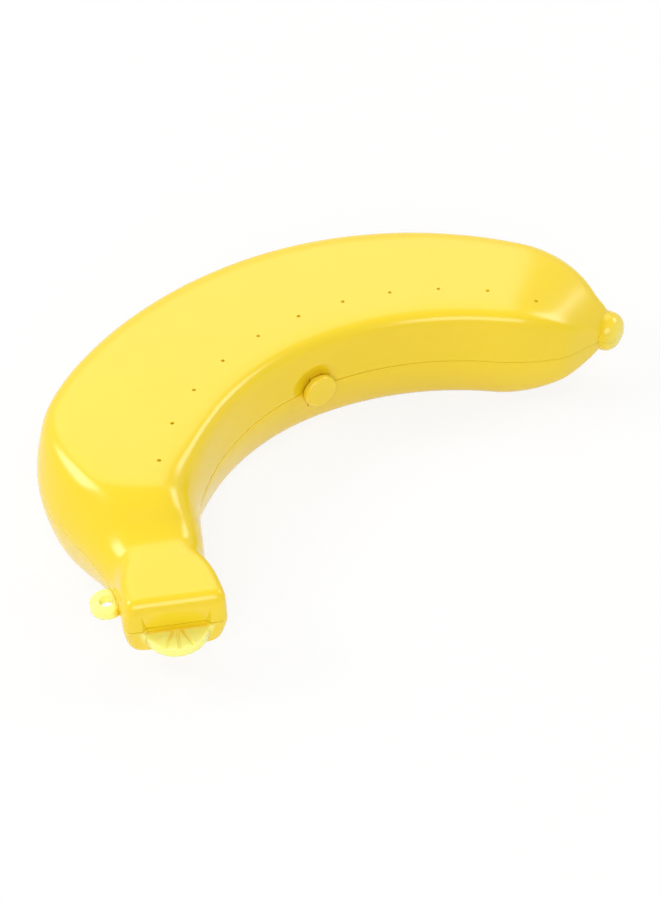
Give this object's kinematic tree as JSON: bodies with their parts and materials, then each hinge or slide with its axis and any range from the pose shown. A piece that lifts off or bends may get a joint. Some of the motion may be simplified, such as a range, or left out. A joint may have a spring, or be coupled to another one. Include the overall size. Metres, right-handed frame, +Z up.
{
  "type": "banana carrying case",
  "caption": "Hinged two-shell hard case shaped like a banana, with a swinging latch button, a thumb tongue, a hanging eye and vent holes.",
  "frame": {"origin": "on the resting face, under the middle of the curved centre line between the latch and the hinge", "axes": "+Z up, +X from the stem towards the tip, +Y from the latch towards the hinge"},
  "size_m": [0.2051, 0.1327, 0.0369],
  "materials": {
    "shell": "glossy moulded polypropylene",
    "button": "glossy moulded polypropylene",
    "steel": "plain drawn wire"
  },
  "bodies": {
    "base": {"lower_shell": "shell", "hinge_pin": "steel", "latch_pin": "steel"},
    "lid": {"upper_shell": "shell"},
    "latch": {"latch_button": "button"}
  },
  "joints": [
    {"name": "lid_hinge", "type": "hinge", "parent": "base", "child": "lid", "pos_m": [0, 0.0306, 0.0182], "axis": [-1, 0, 0], "range_deg": [0, 180]},
    {"name": "latch_pivot", "type": "hinge", "parent": "base", "child": "latch", "pos_m": [0, -0.0235, 0.0132], "axis": [1, 0, 0], "range_deg": [0, 25]}
  ]
}
